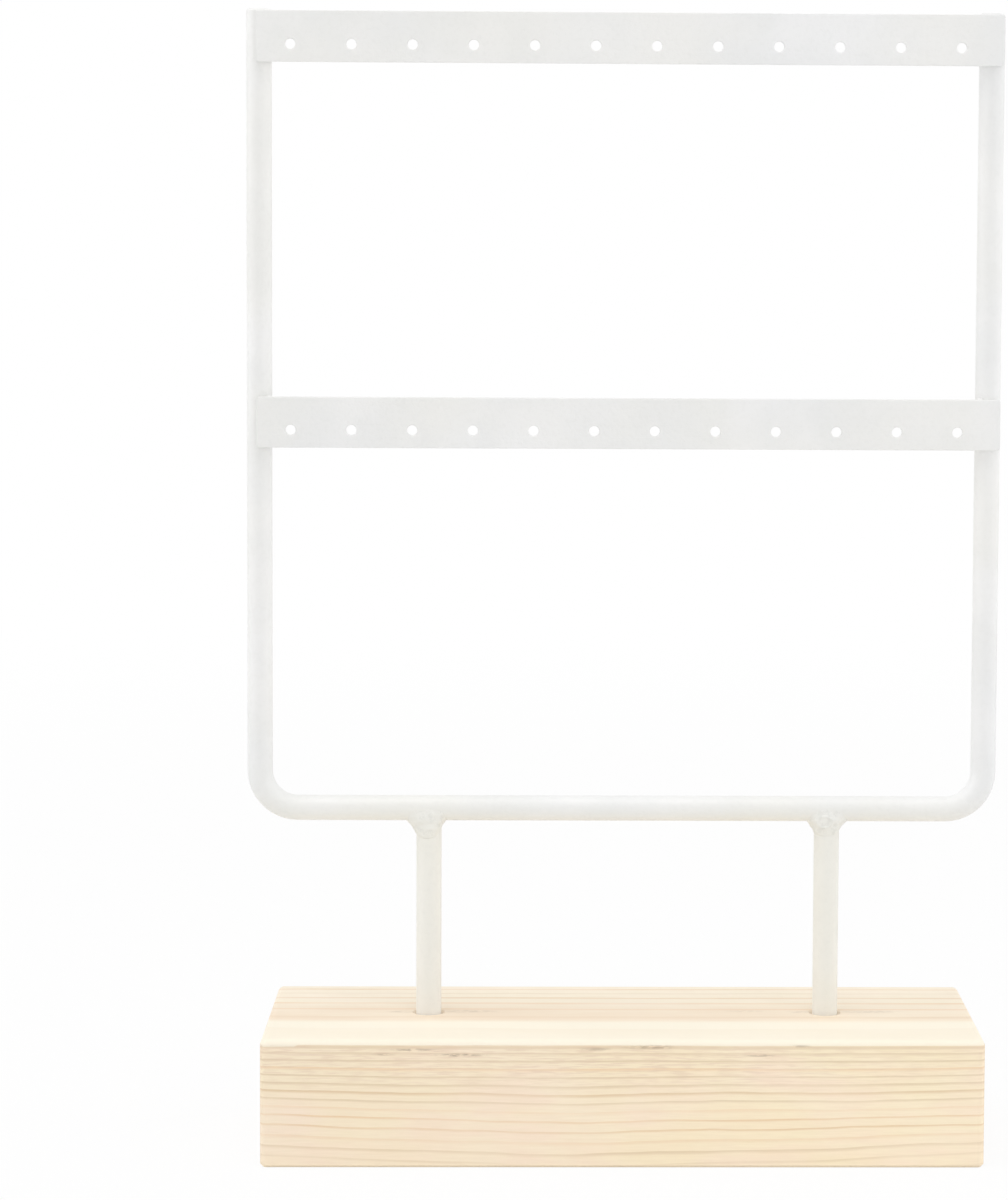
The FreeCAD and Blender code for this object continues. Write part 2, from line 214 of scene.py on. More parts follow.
def add_bump(tree, shader, height, relief):
    """Bends the shader's normal by a height from 0 to 1 that stands for a relief in metres."""
    bump = tree.nodes.new("ShaderNodeBump")
    bump.inputs["Distance"].default_value = relief
    feed(tree, bump.inputs["Height"], height)
    tree.links.new(bump.outputs["Normal"], shader.inputs["Normal"])


# %% [markdown]
# Two effects that wood and paint share
#
# Neither surface is even. Patches are the large soft differences in tone that keep a plain colour
# from looking like plastic. Relief is the fine unevenness of the surface itself: the orange peel
# of powder coat, or the fibres of sanded wood when it is stretched along the grain. Both could be
# built again in every material, but as node groups they are built once, and each material gives
# them its own sizes.

# %% Groups for patches and relief
# Nearly all of the noise of clouds lies between these two values.
CLOUD_LOW = 0.36
CLOUD_HIGH = 0.64
# Relief is broad swells with finer grit on them.
GRIT_FINENESS = 4.3
GRIT_SHARE = 0.35


def new_group(name, fineness, output):
    """A node group that turns a place and a fineness into one number, and its two ends."""
    tree = bpy.data.node_groups.new(name, "ShaderNodeTree")
    tree.interface.new_socket("Place", in_out="INPUT", socket_type="NodeSocketVector")
    socket = tree.interface.new_socket("Fineness", in_out="INPUT", socket_type="NodeSocketFloat")
    socket.default_value = fineness
    tree.interface.new_socket(output, in_out="OUTPUT", socket_type="NodeSocketFloat")
    start = tree.nodes.new("NodeGroupInput").outputs
    end = tree.nodes.new("NodeGroupOutput").inputs[output]
    return tree, start["Place"], start["Fineness"], end


patches_group, group_place, group_fineness, mask = new_group("patches", 0.05, "Mask")
drift = clouds(patches_group, group_place, group_fineness, detail=3.0)
feed(patches_group, mask, fade(patches_group, drift, CLOUD_LOW, CLOUD_HIGH))

relief_group, group_place, group_fineness, relief_height = new_group("relief", 1.0, "Height")
swell = clouds(relief_group, group_place, group_fineness, detail=1.0)
grit_fineness = calc(relief_group, "MULTIPLY", group_fineness, GRIT_FINENESS)
grit = clouds(relief_group, group_place, grit_fineness, detail=2.0)
swell_share = calc(relief_group, "MULTIPLY", swell, 1 - GRIT_SHARE)
feed(relief_group, relief_height, calc(relief_group, "MULTIPLY_ADD", grit, GRIT_SHARE, swell_share))


def use_group(tree, group, place, fineness):
    """Puts a group into a material's tree and returns its single output."""
    node = tree.nodes.new("ShaderNodeGroup")
    node.node_tree = group
    feed(tree, node.inputs["Place"], place)
    node.inputs["Fineness"].default_value = fineness
    return node.outputs[0]


print("groups:", [group.name for group in bpy.data.node_groups])

# %% [markdown]
# The sweep
#
# The object was photographed for a shop page, on plain white. A floor and a wall would meet in a
# line behind it. A sweep, which is a floor that curves up into a wall, has no corner to see. Its
# material shows itself to the camera and to reflections as white that still takes some of the
# object's shadow, and to all other light as an ordinary pale surface.

# %% Sweep
SWEEP_HALF_WIDTH = 3.0
SWEEP_FRONT = -3.0
SWEEP_BACK = 2.0
SWEEP_BEND = 0.8
SWEEP_HEIGHT = 3.0
SWEEP_BEND_STEPS = 24

profile = [(SWEEP_FRONT, 0.0)]
for step in range(SWEEP_BEND_STEPS + 1):
    angle = math.pi / 2 * step / SWEEP_BEND_STEPS
    back = SWEEP_BACK - SWEEP_BEND + SWEEP_BEND * math.sin(angle)
    profile.append((back, SWEEP_BEND - SWEEP_BEND * math.cos(angle)))
profile.append((SWEEP_BACK, SWEEP_HEIGHT))
corners = []
for depth, level in profile:
    corners.append((-SWEEP_HALF_WIDTH, depth, level))
    corners.append((SWEEP_HALF_WIDTH, depth, level))
strips = [(2 * row, 2 * row + 1, 2 * row + 3, 2 * row + 2) for row in range(len(profile) - 1)]
sweep_mesh = bpy.data.meshes.new("sweep")
sweep_mesh.from_pydata(corners, [], strips)
sweep_mesh.shade_smooth()
sweep = bpy.data.objects.new("sweep", sweep_mesh)
bpy.context.scene.collection.objects.link(sweep)
print(f"sweep: {len(strips)} strips")

# %% Sweep material
SWEEP_PAINT = srgb(242, 242, 242)
SWEEP_ROUGHNESS = 0.9
SWEEP_OWN_LIGHT = 0.9
# How far from the origin, in metres, the object's shadow begins to fade and is gone.
SHADOW_FADES = 0.3
SHADOW_GONE = 0.9


def shows_background(tree):
    """1 for the rays that look at the background: the camera's, reflected and refracted ones."""
    path = tree.nodes.new("ShaderNodeLightPath").outputs
    looks = [path[f"Is {kind} Ray"] for kind in ("Camera", "Glossy", "Transmission")]
    return chained(tree, "MAXIMUM", *looks)


sweep_material, tree, shader = new_material("studio_sweep")
shader.inputs["Base Color"].default_value = SWEEP_PAINT
shader.inputs["Roughness"].default_value = SWEEP_ROUGHNESS
shader.inputs["Specular IOR Level"].default_value = 0.0
glow = tree.nodes.new("ShaderNodeEmission")
# Away from the object no shadow falls, and there the sweep shows only its own light.
away = tree.nodes.new("ShaderNodeVectorMath")
away.operation = "LENGTH"
feed(tree, away.inputs[0], tree.nodes.new("ShaderNodeTexCoord").outputs["Object"])
no_shadow = fade(tree, away.outputs["Value"], SHADOW_FADES, SHADOW_GONE)
own_light = spread(tree, no_shadow, SWEEP_OWN_LIGHT, 1.0)
blend = tree.nodes.new("ShaderNodeMixShader")
feed(tree, blend.inputs[0], product(tree, shows_background(tree), own_light))
feed(tree, blend.inputs[1], shader.outputs[0])
feed(tree, blend.inputs[2], glow.outputs[0])
feed(tree, tree.nodes["Material Output"].inputs["Surface"], blend.outputs[0])
sweep_mesh.materials.append(sweep_material)
print(f"sweep material: {len(tree.nodes)} nodes")

# %% [markdown]
# The light
#
# The light in the photograph is even and comes from above. A world of plain white would do for
# evenness, but it gives no side of a round bar its own tone. So the world gives about two thirds
# of the light and lamps give the rest. The key lamp hangs overhead and a weak one fills the
# front. Two more stand at the object's left and right: they light only the sides of the round
# bars, whose edges are brighter than their middles in the photograph. All of them together add
# up to about 1, so that a colour renders as it is written.

# %% World
WORLD_LIGHT = 0.69
# Reflections find the room dark in front of the object, where the photograph was taken from. The
# dark begins where a direction's Y is the first of these values and is full at the second.
DARK_FRONT = 0.75
DARK_DIRECTIONS = (-0.45, -0.9)

world = bpy.data.worlds.new("studio_world")
bpy.context.scene.world = world
world.use_nodes = True
tree = world.node_tree
strength = spread(tree, shows_background(tree), WORLD_LIGHT, 1.0)
direction = coordinates(tree, tree.nodes.new("ShaderNodeTexCoord").outputs["Generated"])
in_front = fade(tree, direction[1], *DARK_DIRECTIONS)
glossy = tree.nodes.new("ShaderNodeLightPath").outputs["Is Glossy Ray"]
dark = product(tree, in_front, glossy, DARK_FRONT)
background = tree.nodes["Background"]
background.inputs["Color"].default_value = (1.0, 1.0, 1.0, 1.0)
feed(tree, background.inputs["Strength"], calc(tree, "SUBTRACT", strength, dark))
bpy.context.scene.view_settings.view_transform = "Standard"
print(f"world: {WORLD_LIGHT} of plain white")

# %% Lamps
LAMP_AIM = Vector((0.0, 0.0, 0.1))
# Each square lamp: its place, its side and its power in watts.
LAMPS = {
    "key_softbox": ((-0.33, -0.58, 2.4), 1.5, 15.2),
    "fill_softbox": ((0.7, -1.1, 0.6), 0.8, 2.3),
    "left_softbox": ((-1.15, 0.0, 0.5), 0.9, 2.9),
    "right_softbox": ((1.15, 0.12, 0.5), 0.9, 2.0),
}

for name, (stand, side, power) in LAMPS.items():
    lamp_data = bpy.data.lights.new(name, "AREA")
    lamp_data.size = side
    lamp_data.energy = power
    lamp = bpy.data.objects.new(name, lamp_data)
    lamp.location = stand
    lamp.rotation_euler = (LAMP_AIM - Vector(stand)).to_track_quat("-Z", "Y").to_euler()
    bpy.context.scene.collection.objects.link(lamp)
    print(f"{name}: {power} W")

# %% [markdown]
# White powder coat
#
# Powder coat is a plastic film baked on to the steel. It is satin, slightly grey beside the white
# background, with a fine orange peel and a few tones' difference where it lies thicker. Low down,
# on the posts and under the run, it is tinted creamier as painted bounce light from the wood. One
# white shader would look like plastic, so the colour drifts in patches, the relief bends the
# reflections and painted shade darkens the pits of the relief. One function makes it for every
# steel piece; the welds get a coarser relief, because the film bridges their ripples without
# hiding them.

# %% Coat material
COAT = srgb(241, 241, 241)
COAT_THIN = srgb(231, 232, 232)
COAT_WARM_AND_BOUNCE = srgb(239, 237, 227)
# The coat's colour in the pits of its relief, as painted shade.
COAT_PIT_SHADE = srgb(204, 204, 198)
THIN_FINENESS = 0.06
THIN_SHARE = 0.55
WARM_FINENESS = 0.021
WARM_SHARE = 0.3
# The levels, in millimetres, where the painted bounce light from the wood begins and is full.
WOOD_BOUNCE_LEVELS = (72.0, 60.0)
WOOD_BOUNCE_SHARE = 0.5
# The heights of the relief where the painted shade of a pit begins and is full.
PIT_SHADE_HEIGHTS = (0.49, 0.38)
COAT_ROUGHNESS = (0.42, 0.52)
COAT_SPECULAR = 0.65


def coat_material(name, fineness, relief, pit_shade):
    """White satin powder coat with a relief of that fineness and height, and painted shade in its
    pits.
    """
    material, tree, shader = new_material(name)
    place = millimetres(tree)
    level = coordinates(tree, place)[2]
    thin = use_group(tree, patches_group, place, THIN_FINENESS)
    warm = use_group(tree, patches_group, place, WARM_FINENESS)
    # Low down, the coat is tinted warm as painted bounce light from the wood.
    painted_wood_bounce = product(tree, fade(tree, level, *WOOD_BOUNCE_LEVELS), WOOD_BOUNCE_SHARE)
    warm_patches_and_bounce = calc(tree, "MULTIPLY_ADD", warm, WARM_SHARE, painted_wood_bounce)
    height = use_group(tree, relief_group, place, fineness)
    colour = tinted(tree, COAT, COAT_THIN, thin, THIN_SHARE)
    colour = tinted(tree, colour, COAT_WARM_AND_BOUNCE, warm_patches_and_bounce)
    # The low points of the relief are painted darker, as painted shade in the pits.
    colour = tinted(tree, colour, COAT_PIT_SHADE, fade(tree, height, *PIT_SHADE_HEIGHTS), pit_shade)
    feed(tree, shader.inputs["Base Color"], colour)
    feed(tree, shader.inputs["Roughness"], spread(tree, thin, *COAT_ROUGHNESS))
    shader.inputs["Specular IOR Level"].default_value = COAT_SPECULAR
    add_bump(tree, shader, height, relief)
    print(f"{name}: {len(tree.nodes)} nodes")
    return material


steel_coat = coat_material("white_powder_coat", fineness=1.1, relief=0.05 * MM, pit_shade=0.05)
weld_coat = coat_material("white_coat_on_weld", fineness=0.8, relief=0.2 * MM, pit_shade=0.22)


# %% Coat the round steel
def give(piece, material):
    """Leaves the piece with that material alone."""
    piece.data.materials.clear()
    piece.data.materials.append(material)


for name in ("frame_rod", "post_left", "post_right"):
    give(nodes[name], steel_coat)
    print(name, "is coated")

# %% [markdown]
# The drilled bars
#
# Each bar is a strip of flat steel with twelve holes for the studs. In CAD its holes are sharp,
# but a coated edge never is: the film rounds it over. The holes could be cut from a box and its
# edges bevelled afterwards, which leaves slivers round the holes. A flat curve with inner curves
# for the holes can be extruded and bevelled in one step, which rounds the outline and the hole
# mouths alike, so the bars are made that way and stand for their CAD nodes. The holes' places
# come from the record's mounts.

# %% Hole places
hole_places = []
for mount in frame["record"]["mounts"]:
    if mount["kind"] != "bolt_pattern":
        continue
    middle = Vector(mount["pos_m"])
    half_wide = mount["dims"]["spacing_x_mm"] * MM / 2
    half_tall = mount["dims"]["spacing_y_mm"] * MM / 2
    hole_radius = mount["dims"]["hole_r_mm"] * MM
    for side in (-1, 1):
        for row in (-1, 1):
            hole_places.append((middle.x + side * half_wide, middle.z + row * half_tall))
print(f"{len(hole_places)} stud holes, {2 * hole_radius / MM:.1f} mm wide")

# %% Outlines as curves
# Length of a handle, as a share of the radius, that bends a curve into a quarter circle.
QUARTER_HANDLE = 0.5523


def add_spline(curve, knots):
    """A closed curve. Each knot is its point and the offsets of its two handles."""
    spline = curve.splines.new("BEZIER")
    spline.bezier_points.add(len(knots) - 1)
    spline.use_cyclic_u = True
    for point, (place, before, after) in zip(spline.bezier_points, knots):
        point.handle_left_type = "FREE"
        point.handle_right_type = "FREE"
        point.co = (*place, 0.0)
        point.handle_left = (place[0] + before[0], place[1] + before[1], 0.0)
        point.handle_right = (place[0] + after[0], place[1] + after[1], 0.0)


def add_rounded_outline(curve, low, high, radius):
    """The bar's outline, anticlockwise, with a quarter circle at each corner."""
    pull = radius * QUARTER_HANDLE
    knots = []
    for corner_x, corner_z, go_x, go_z in (
        (high.x, low.z, 1, 0), (high.x, high.z, 0, 1), (low.x, high.z, -1, 0), (low.x, low.z, 0, -1)
    ):
        # The line arrives along (go_x, go_z) and leaves turned a quarter to the left.
        leave_x, leave_z = -go_z, go_x
        start = (corner_x - go_x * radius, corner_z - go_z * radius)
        end = (corner_x + leave_x * radius, corner_z + leave_z * radius)
        knots.append((start, (0, 0), (go_x * pull, go_z * pull)))
        knots.append((end, (-leave_x * pull, -leave_z * pull), (0, 0)))
    add_spline(curve, knots)


def add_hole(curve, middle_x, middle_z, radius):
    """A round hole, clockwise, so that it is bevelled into the bar and not into the hole."""
    pull = radius * QUARTER_HANDLE
    knots = []
    for quarter in range(4):
        angle = -quarter * math.pi / 2
        place = (middle_x + radius * math.cos(angle), middle_z + radius * math.sin(angle))
        along = (math.sin(angle) * pull, -math.cos(angle) * pull)
        knots.append((place, (-along[0], -along[1]), along))
    add_spline(curve, knots)


# %% Bar mesh
BAR_CORNER = 0.5 * MM
BAR_EDGE_ROUND = 0.2 * MM
BAR_ROUND_STEPS = 3
QUARTER_STEPS = 10
# Points closer together than this are one point.
SAME_PLACE = 0.001 * MM


def make_drilled_bar(node):
    """A coated bar in place of a CAD one, with the holes that lie in its box."""
    low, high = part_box(node)
    curve = bpy.data.curves.new(node, "CURVE")
    curve.dimensions = "2D"
    curve.fill_mode = "BOTH"
    curve.resolution_u = QUARTER_STEPS
    curve.extrude = (high.y - low.y) / 2 - BAR_EDGE_ROUND
    curve.bevel_depth = BAR_EDGE_ROUND
    curve.bevel_resolution = BAR_ROUND_STEPS
    curve.offset = -BAR_EDGE_ROUND
    add_rounded_outline(curve, low, high, BAR_CORNER)
    for hole_x, hole_z in hole_places:
        if low.z < hole_z < high.z:
            add_hole(curve, hole_x, hole_z, hole_radius)
    flat = bpy.data.objects.new(node + "_outline", curve)
    bpy.context.scene.collection.objects.link(flat)
    bpy.context.view_layer.update()
    mesh = bpy.data.meshes.new_from_object(flat.evaluated_get(bpy.context.evaluated_depsgraph_get()))
    bpy.data.objects.remove(flat)
    # The curve lies on its back: it is stood up, with its middle where the CAD bar's middle is.
    stand_up = Matrix.Rotation(math.pi / 2, 4, "X")
    mesh.transform(Matrix.Translation((0, (low.y + high.y) / 2, 0)) @ stand_up)
    body = bmesh.new()
    body.from_mesh(mesh)
    bmesh.ops.remove_doubles(body, verts=body.verts, dist=SAME_PLACE)
    bmesh.ops.recalc_face_normals(body, faces=body.faces)
    body.to_mesh(mesh)
    body.free()
    return mesh


# %% Bars
def finish_piece(name, mesh, material, replaced):
    """Puts a mesh into the scene as a piece of the steel frame, in place of a CAD node."""
    mesh.name = name
    mesh.shade_smooth()
    piece = bpy.data.objects.new(name, mesh)
    bpy.context.scene.collection.objects.link(piece)
    give(piece, material)
    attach(piece, "root")
    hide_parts(replaced)
    print(f"{name}: {len(mesh.polygons)} faces")
    return piece


for node in ("top_bar", "middle_bar"):
    bar = finish_piece(node + "_coated", make_drilled_bar(node), steel_coat, node)
    weighting = bar.modifiers.new("flat_faces_stay_flat", "WEIGHTED_NORMAL")
    weighting.keep_sharp = False
    print("bar's sides in mm:", [round(side / MM, 2) for side in bar.dimensions])

# %% [markdown]
# The beads behind the bars
#
# A weld is laid drop by drop, so it has ripples, and it never runs quite even. The beads behind
# the bars are short, each in the groove between an upright and a bar. A row of squashed spheres
# would show the drops, but with gaps and hidden faces between them. A single tube whose rings
# swell and shrink, with seeded noise on top, is one clean surface.


# %% Rings joined to a surface
def mesh_from_rings(name, rings, ends_closed):
    """Joins rings of points with quads. With closed ends the result is a bead, otherwise a hoop."""
    sides = len(rings[0])
    points = [point for ring in rings for point in ring]
    faces = []
    ring_pairs = len(rings) - 1 if ends_closed else len(rings)
    for number in range(ring_pairs):
        following = (number + 1) % len(rings)
        for side in range(sides):
            beside = (side + 1) % sides
            faces.append((
                number * sides + side, number * sides + beside,
                following * sides + beside, following * sides + side,
            ))
    if ends_closed:
        faces.append(tuple(reversed(range(sides))))
        faces.append(tuple(range((len(rings) - 1) * sides, len(rings) * sides)))
    mesh = bpy.data.meshes.new(name)
    mesh.from_pydata(points, [], faces)
    body = bmesh.new()
    body.from_mesh(mesh)
    bmesh.ops.recalc_face_normals(body, faces=body.faces)
    body.to_mesh(mesh)
    body.free()
    return mesh


# %% Weld beads
BEAD_RADIUS = 1.05 * MM
BEAD_SIDES = 16
BEAD_RINGS = 60
BEAD_DROP_LENGTH = 1.15 * MM
# Shares of the radius: at the two tips, between two drops, and what a drop adds.
BEAD_AT_TIP = 0.12
BEAD_BETWEEN_DROPS = 0.84
BEAD_ON_DROP = 0.14
BEAD_SWAY = 0.15 * MM
BEAD_SWAY_LENGTH = 3 * MM
BEAD_LUMP = 0.05
BEAD_LUMP_FINENESS = 1.7
BEAD_LUMP_STRETCH = 0.8
# The seed moves each bead's sway this far along the noise.
SWAY_SEED_STEP = 7.1


def make_bead(node, seed):
    """A row of overlapping drops along the height of the CAD weld's box."""
    low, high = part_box(node)
    inner_side = 1 if low.x < 0 else -1
    middle_x = (high.x if low.x < 0 else low.x) - inner_side * BEAD_RADIUS
    middle_y = high.y - BEAD_RADIUS
    length = high.z - low.z
    own_noise = Vector((seed, seed, seed))
    rings = []
    for step in range(BEAD_RINGS + 1):
        share = step / BEAD_RINGS
        height = low.z + share * length
        from_end = min(share, 1 - share) * length
        swell = math.sqrt(max(0.0, 1 - (1 - min(1.0, from_end / BEAD_RADIUS)) ** 2))
        drop = abs(math.sin(math.pi * (height - low.z) / BEAD_DROP_LENGTH + seed))
        thickness = BEAD_BETWEEN_DROPS + BEAD_ON_DROP * drop
        radius = BEAD_RADIUS * max(BEAD_AT_TIP, swell) * thickness
        sway_place = Vector((seed * SWAY_SEED_STEP, height / BEAD_SWAY_LENGTH, 0.0))
        sway = noise.noise(sway_place) * BEAD_SWAY
        ring = []
        for side in range(BEAD_SIDES):
            angle = 2 * math.pi * side / BEAD_SIDES
            place = Vector((math.cos(angle), math.sin(angle), height / MM * BEAD_LUMP_STRETCH))
            lump = 1 + BEAD_LUMP * noise.noise(place * BEAD_LUMP_FINENESS + own_noise)
            ring.append((
                middle_x + sway + radius * lump * math.cos(angle),
                middle_y + radius * lump * math.sin(angle),
                height,
            ))
        rings.append(ring)
    return mesh_from_rings(node, rings, ends_closed=True)


for seed, node in enumerate(name for name in sorted(nodes) if "_bar_weld_" in name):
    finish_piece(node + "_bead", make_bead(node, seed), weld_coat, node)

# %% [markdown]
# The collars on the posts
#
# Where the posts meet the lower run, the weld lies round the joint as a collar, and the camera
# sees it from the front. So the collars follow the photograph: the left one reaches further along
# the run on its left, and the right one has a small oval scar in front. A sculpted lump would do
# for one view only. Here a hoop is swept round the post, and at each angle an arch of metal spans
# from a foot on the post to a crown on the run, so it stays tight on both bars from every side.

# %% What each collar looks like
# For each collar: how far it reaches along the run, how far down the post and how high round the
# run in degrees, each on its left and on its right side, how far down the post in front, how
# deep the waist between its two drops is, and the middle of its scar, if it has one. Lengths are
# in millimetres.
COLLARS = {
    "post_weld_left": {
        "reach": (2.0, 0.9), "drop": (2.8, 1.4), "climb": (114, 108), "front_drop": 3.4,
        "waist": 0.16, "scar": None,
    },
    "post_weld_right": {
        "reach": (1.5, 1.5), "drop": (2.4, 1.7), "climb": (90, 106), "front_drop": 2.7,
        "waist": 0.0, "scar": (-0.6, -2.3),
    },
}
POST_RADIUS = (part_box("post_left")[1].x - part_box("post_left")[0].x) / 2
RUN_RADIUS = (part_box("frame_rod")[1].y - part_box("frame_rod")[0].y) / 2
RUN_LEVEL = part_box("frame_rod")[0].z + RUN_RADIUS
print(f"post {2 * POST_RADIUS / MM:.1f} mm thick, run {2 * RUN_RADIUS / MM:.1f} mm thick")

# %% Foot and crown of a collar
COLLAR_WOBBLE = 0.3
COLLAR_WOBBLE_FINENESS = 1.3
WOBBLE_SEED_STEP = 3.7
COLLAR_CLIMB_POWER = 0.9


def between(pair, share):
    """The value at a share of the way from the first of a pair to the second."""
    return pair[0] + (pair[1] - pair[0]) * share


def collar_edges(form, middle_x, along, facing, seed):
    """Where the arch at one angle stands on the post, and where it ends on the run."""
    rightness = (along + 1) / 2
    frontness = facing ** 2
    side_drop = between(form["drop"], rightness) * (1 - frontness)
    fineness = COLLAR_WOBBLE_FINENESS
    wobble_place = Vector((along * fineness, facing * fineness, seed * WOBBLE_SEED_STEP))
    wobble = COLLAR_WOBBLE * noise.noise(wobble_place)
    foot = Vector((
        middle_x + POST_RADIUS * along,
        POST_RADIUS * facing,
        RUN_LEVEL - RUN_RADIUS - (side_drop + form["front_drop"] * frontness + wobble) * MM,
    ))
    side_reach = between(form["reach"], rightness) * MM
    turn = math.radians(between(form["climb"], rightness)) * abs(facing) ** COLLAR_CLIMB_POWER
    crown = Vector((
        middle_x + (POST_RADIUS + side_reach) * along,
        math.copysign(RUN_RADIUS * math.sin(turn), facing),
        RUN_LEVEL - RUN_RADIUS * math.cos(turn),
    ))
    return foot, crown


# %% Scar on a collar
# The oval's half sizes in millimetres, its rim's height, and the rim's width as a share of them.
SCAR_HALF_WIDTH = 1.5
SCAR_HALF_HEIGHT = 1.1
SCAR_RIM = 0.2 * MM
SCAR_RIM_WIDTH = 0.22


def scar_rim(point, middle_x, scar):
    """How far the raised rim of an oval scar stands out at a point of the collar."""
    off_x = (point.x - middle_x) / MM - scar[0]
    off_z = (point.z - RUN_LEVEL) / MM - scar[1]
    oval = math.hypot(off_x / SCAR_HALF_WIDTH, off_z / SCAR_HALF_HEIGHT)
    return SCAR_RIM * math.exp(-(((oval - 1) / SCAR_RIM_WIDTH) ** 2))


# %% Weld collars
COLLAR_AROUND = 120
COLLAR_ACROSS = 32
# How full the arch is: hollow at the sides, and full in front, where it bridges the two bars.
COLLAR_FULLNESS = (-0.14, 0.38)
COLLAR_ARCH_POWER = 1.2
COLLAR_SIDE_DROOP = 0.75
COLLAR_RIPPLES = 9
COLLAR_RIPPLE = 0.05
COLLAR_LUMP = 0.18
COLLAR_LUMP_FINENESS = 0.8
# The seed turns each collar's ripples and moves its lumps this far along the noise.
RIPPLE_SEED_STEP = 2.1
LUMP_SEED_STEP = 5.3
# The waist's place and width, as shares of the way from foot to crown.
WAIST_PLACE = 0.42
WAIST_WIDTH = 0.1
# How deep the hoop's hidden side lies inside the round bars.
SUNK = 0.4 * MM


def make_collar(node, form, seed):
    """A closed hoop of weld metal between the post's side and the run's underside."""
    low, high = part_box(node)
    middle_x = (low.x + high.x) / 2
    own_noise = Vector((seed * LUMP_SEED_STEP, 0, 0))
    rings = []
    for around in range(COLLAR_AROUND):
        angle = 2 * math.pi * around / COLLAR_AROUND
        along, facing = math.cos(angle), math.sin(angle)
        frontness = facing ** 2
        foot, crown = collar_edges(form, middle_x, along, facing, seed)
        outward = Vector((along, facing, -COLLAR_SIDE_DROOP * (1 - frontness))).normalized()
        fullness = between(COLLAR_FULLNESS, frontness)
        ripple = COLLAR_RIPPLE * math.sin(COLLAR_RIPPLES * angle + RIPPLE_SEED_STEP * seed)
        ring = []
        for across in range(COLLAR_ACROSS + 1):
            share = across / COLLAR_ACROSS
            point = foot.lerp(crown, share)
            arch = math.sin(math.pi * share) ** COLLAR_ARCH_POWER
            lump = COLLAR_LUMP * noise.noise(point / MM * COLLAR_LUMP_FINENESS + own_noise)
            pinch = math.exp(-(((share - WAIST_PLACE) / WAIST_WIDTH) ** 2))
            pinch *= form["waist"] * frontness
            point = point + outward * (arch * (fullness + ripple + lump) - pinch) * MM
            if form["scar"] and facing < 0:
                point.y -= scar_rim(point, middle_x, form["scar"])
            ring.append(tuple(point))
        # Back inside the round bars, where it doesn't show, from the crown to the foot.
        inner_crown = crown.copy()
        inner_crown.y *= 1 - SUNK / RUN_RADIUS
        inner_crown.z = RUN_LEVEL + (crown.z - RUN_LEVEL) * (1 - SUNK / RUN_RADIUS)
        inner_radius = POST_RADIUS - SUNK
        ring.append(tuple(inner_crown))
        ring.append((middle_x + inner_radius * along, inner_radius * facing, foot.z))
        rings.append(ring)
    return mesh_from_rings(node, rings, ends_closed=False)


for seed, (node, form) in enumerate(COLLARS.items(), start=1):
    finish_piece(node + "_collar", make_collar(node, form, seed), weld_coat, node)

# %% [markdown]
# Pine, and its rings
#
# A board is cut from a tree's rings, so its figure runs right through it: lines along the front,
# the same rings met almost flat on top, and arcs on the ends. A picture wrapped round the block
# could not do that. Here the rings are worked out from each point's distance to the middle of the
# tree, the pith, which lies along X far below the block. The rings sag in the middle of the block,
# as in the photograph, and waver a little along it. Each ring gets a number, the year it grew in,
# and white noise turns that number into the ring's own strength, tint and width.

# %% Pine material
BLOCK_HALF_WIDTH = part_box("wood_base")[1].x / MM

pine, tree, shader = new_material("sanded_pine")
place = millimetres(tree)
across, depth, level = coordinates(tree, place)
print(f"the block reaches {BLOCK_HALF_WIDTH:.0f} mm to each side")

# %% How far from the pith
# Lengths and levels are in millimetres from here on.
PITH_DEPTH = -26.0
PITH_LEVEL = -100.0
SAG = 2.6
# The levels where the sag begins and is full.
SAG_LEVELS = (29.0, -10.0)
WAVE_HEIGHT = 1.6
WAVE_FINENESS = (0.022, 0.05, 0.07)
# The waves are calm on top, and full from the second of these levels down.
CALM_ON_TOP = 0.12
WAVE_LEVELS = (26.0, 8.0)

off_middle = calc(tree, "DIVIDE", across, BLOCK_HALF_WIDTH)
off_middle = product(tree, off_middle, off_middle)
sag_here = product(tree, fade(tree, level, *SAG_LEVELS), SAG)
waves = clouds(tree, scaled(tree, place, WAVE_FINENESS), 1.0, detail=3.0)
waves = spread(tree, waves, -WAVE_HEIGHT, WAVE_HEIGHT)
waves = product(tree, waves, spread(tree, fade(tree, level, *WAVE_LEVELS), CALM_ON_TOP, 1.0))
rise = chained(tree, "ADD", product(tree, off_middle, sag_here), waves, PITH_LEVEL)
from_pith_z = calc(tree, "SUBTRACT", level, rise)
from_pith_y = calc(tree, "SUBTRACT", depth, PITH_DEPTH)
squares = chained(
    tree, "ADD", product(tree, from_pith_z, from_pith_z), product(tree, from_pith_y, from_pith_y)
)
from_pith = calc(tree, "SQRT", squares)
print(f"the pith lies {-PITH_LEVEL:.0f} mm under the block's underside")

# %% Years
FIRST_RING = 101.0
RINGS_PER_MM = 0.45
RING_CROWDING = 0.0049

grown = calc(tree, "SUBTRACT", from_pith, FIRST_RING)
crowding = calc(tree, "MULTIPLY_ADD", grown, RING_CROWDING, RINGS_PER_MM)
years = product(tree, grown, crowding)
season = calc(tree, "FRACT", years)
luck = tree.nodes.new("ShaderNodeTexWhiteNoise")
luck.noise_dimensions = "1D"
feed(tree, luck.inputs["W"], calc(tree, "FLOOR", years))
chances = tree.nodes.new("ShaderNodeSeparateColor")
feed(tree, chances.inputs[0], luck.outputs["Color"])
ring_strength, ring_tint, ring_width = chances.outputs[0], chances.outputs[1], chances.outputs[2]
print(f"the first ring is {1 / RINGS_PER_MM:.1f} mm wide")

# %% [markdown]
# Early and late wood
#
# A year begins with pale, soft early wood and closes with a thin dark line of late wood. A wave
# of the distance would give stripes that are dark and pale by halves. The season, which runs from
# 0 to 1 across each ring, lets the line rise late and stop short. The early wood drifts between
# pink and yellow, and the fibres show as fine marks drawn out along the board.

# %% Late wood and fibres
# The season when a year's late wood begins, by its luck, when it is full and when it ends.
LATE_BEGINS = (0.42, 0.7)
LATE_FULL = 0.9
LATE_ENDS = (1.0, 0.93)
